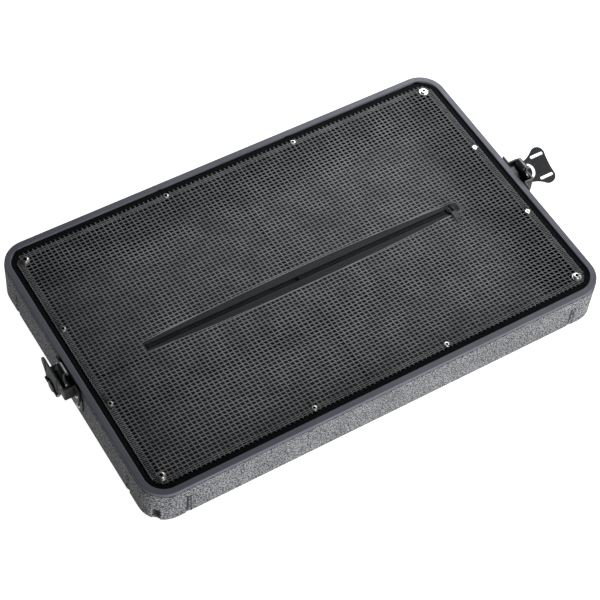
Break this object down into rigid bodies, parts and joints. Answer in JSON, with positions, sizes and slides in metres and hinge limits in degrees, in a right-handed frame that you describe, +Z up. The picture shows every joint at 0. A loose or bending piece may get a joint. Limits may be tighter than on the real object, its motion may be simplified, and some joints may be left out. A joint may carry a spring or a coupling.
{
  "type": "rack case lid",
  "caption": "Lift-off lid of a moulded rack case, open side up: rounded shell, metal rim, zipped net pocket and a butterfly twist latch on each short side.",
  "frame": {"origin": "middle of the underside, on the surface that the lid lies on", "axes": "+X along the long side, +Y along the short side, +Z up out of the open side"},
  "size_m": [0.6328, 0.354, 0.074],
  "materials": {
    "moulded_shell": "charcoal grey moulded polyethylene with a haircell grain",
    "rim_metal": "satin slate grey",
    "ledge_plastic": "matt black",
    "net_mesh": "open grey black netting",
    "zip_tape": "black woven tape",
    "zip_teeth": "black coil",
    "zip_metal": "black enamel",
    "bright_steel": "bright nickel",
    "rivet_steel": "bright",
    "backing_steel": "zinc",
    "latch_steel": "semi gloss black",
    "pad_nylon": "black nylon"
  },
  "bodies": {
    "lid": {"shell": "moulded_shell", "rim_frame": "rim_metal", "net_ledge": "ledge_plastic", "net": "net_mesh", "corner_screws": "bright_steel", "edge_screws": "bright_steel", "corner_washers": "bright_steel", "zip_tape_far": "zip_tape", "zip_tape_near": "zip_tape", "zip_coil_far": "zip_teeth", "zip_coil_near": "zip_teeth", "zip_end_stops": "zip_metal", "left_latch_plate": "latch_steel", "left_latch_backing": "backing_steel", "left_latch_rivets": "rivet_steel", "left_latch_bridge": "latch_steel", "left_slide_pad": "pad_nylon", "right_latch_plate": "latch_steel", "right_latch_backing": "backing_steel", "right_latch_rivets": "rivet_steel", "right_latch_bridge": "latch_steel", "right_slide_pad": "pad_nylon"},
    "zip_slider": {"zip_slider": "zip_metal"},
    "zip_puller": {"zip_puller": "zip_metal"},
    "left_crank": {"left_crank": "latch_steel"},
    "left_hook": {"left_hook": "latch_steel"},
    "left_wing": {"left_wing": "latch_steel", "left_wing_pin": "rivet_steel"},
    "right_crank": {"right_crank": "latch_steel"},
    "right_hook": {"right_hook": "latch_steel"},
    "right_wing": {"right_wing": "latch_steel", "right_wing_pin": "rivet_steel"}
  },
  "joints": [
    {"name": "zip_run", "type": "slide", "parent": "lid", "child": "zip_slider", "axis": [1, 0, 0], "range_m": [-0.3744, 0]},
    {"name": "puller_flip", "type": "hinge", "parent": "zip_slider", "child": "zip_puller", "pos_m": [0.1872, -0.008, 0.05425], "axis": [-1, 0, 0], "range_deg": [0, 172.3]},
    {"name": "left_twist", "type": "hinge", "parent": "lid", "child": "left_crank", "pos_m": [-0.3, 0, 0.044], "axis": [-1, 0, 0], "range_deg": [0, 180]},
    {"name": "left_draw", "type": "slide", "parent": "lid", "child": "left_hook", "axis": [0, 0, 1], "range_m": [-0.008, 0]},
    {"name": "left_fold", "type": "hinge", "parent": "left_crank", "child": "left_wing", "pos_m": [-0.3, 0, 0.044], "axis": [0, -1, 0], "range_deg": [0, 90]},
    {"name": "right_twist", "type": "hinge", "parent": "lid", "child": "right_crank", "pos_m": [0.3, 0, 0.044], "axis": [1, 0, 0], "range_deg": [-25, 155]},
    {"name": "right_draw", "type": "slide", "parent": "lid", "child": "right_hook", "axis": [0, 0, 1], "range_m": [-0.00689, 0.00111]},
    {"name": "right_fold", "type": "hinge", "parent": "right_crank", "child": "right_wing", "pos_m": [0.3, 0, 0.044], "axis": [0, 0.9063, 0.4226], "range_deg": [-90, 0]}
  ],
  "couplings": [
    {"joint": "left_draw", "follows": "left_twist", "m_per_rad": -0.0025465},
    {"joint": "right_draw", "follows": "right_twist", "m_per_rad": -0.0025465}
  ]
}
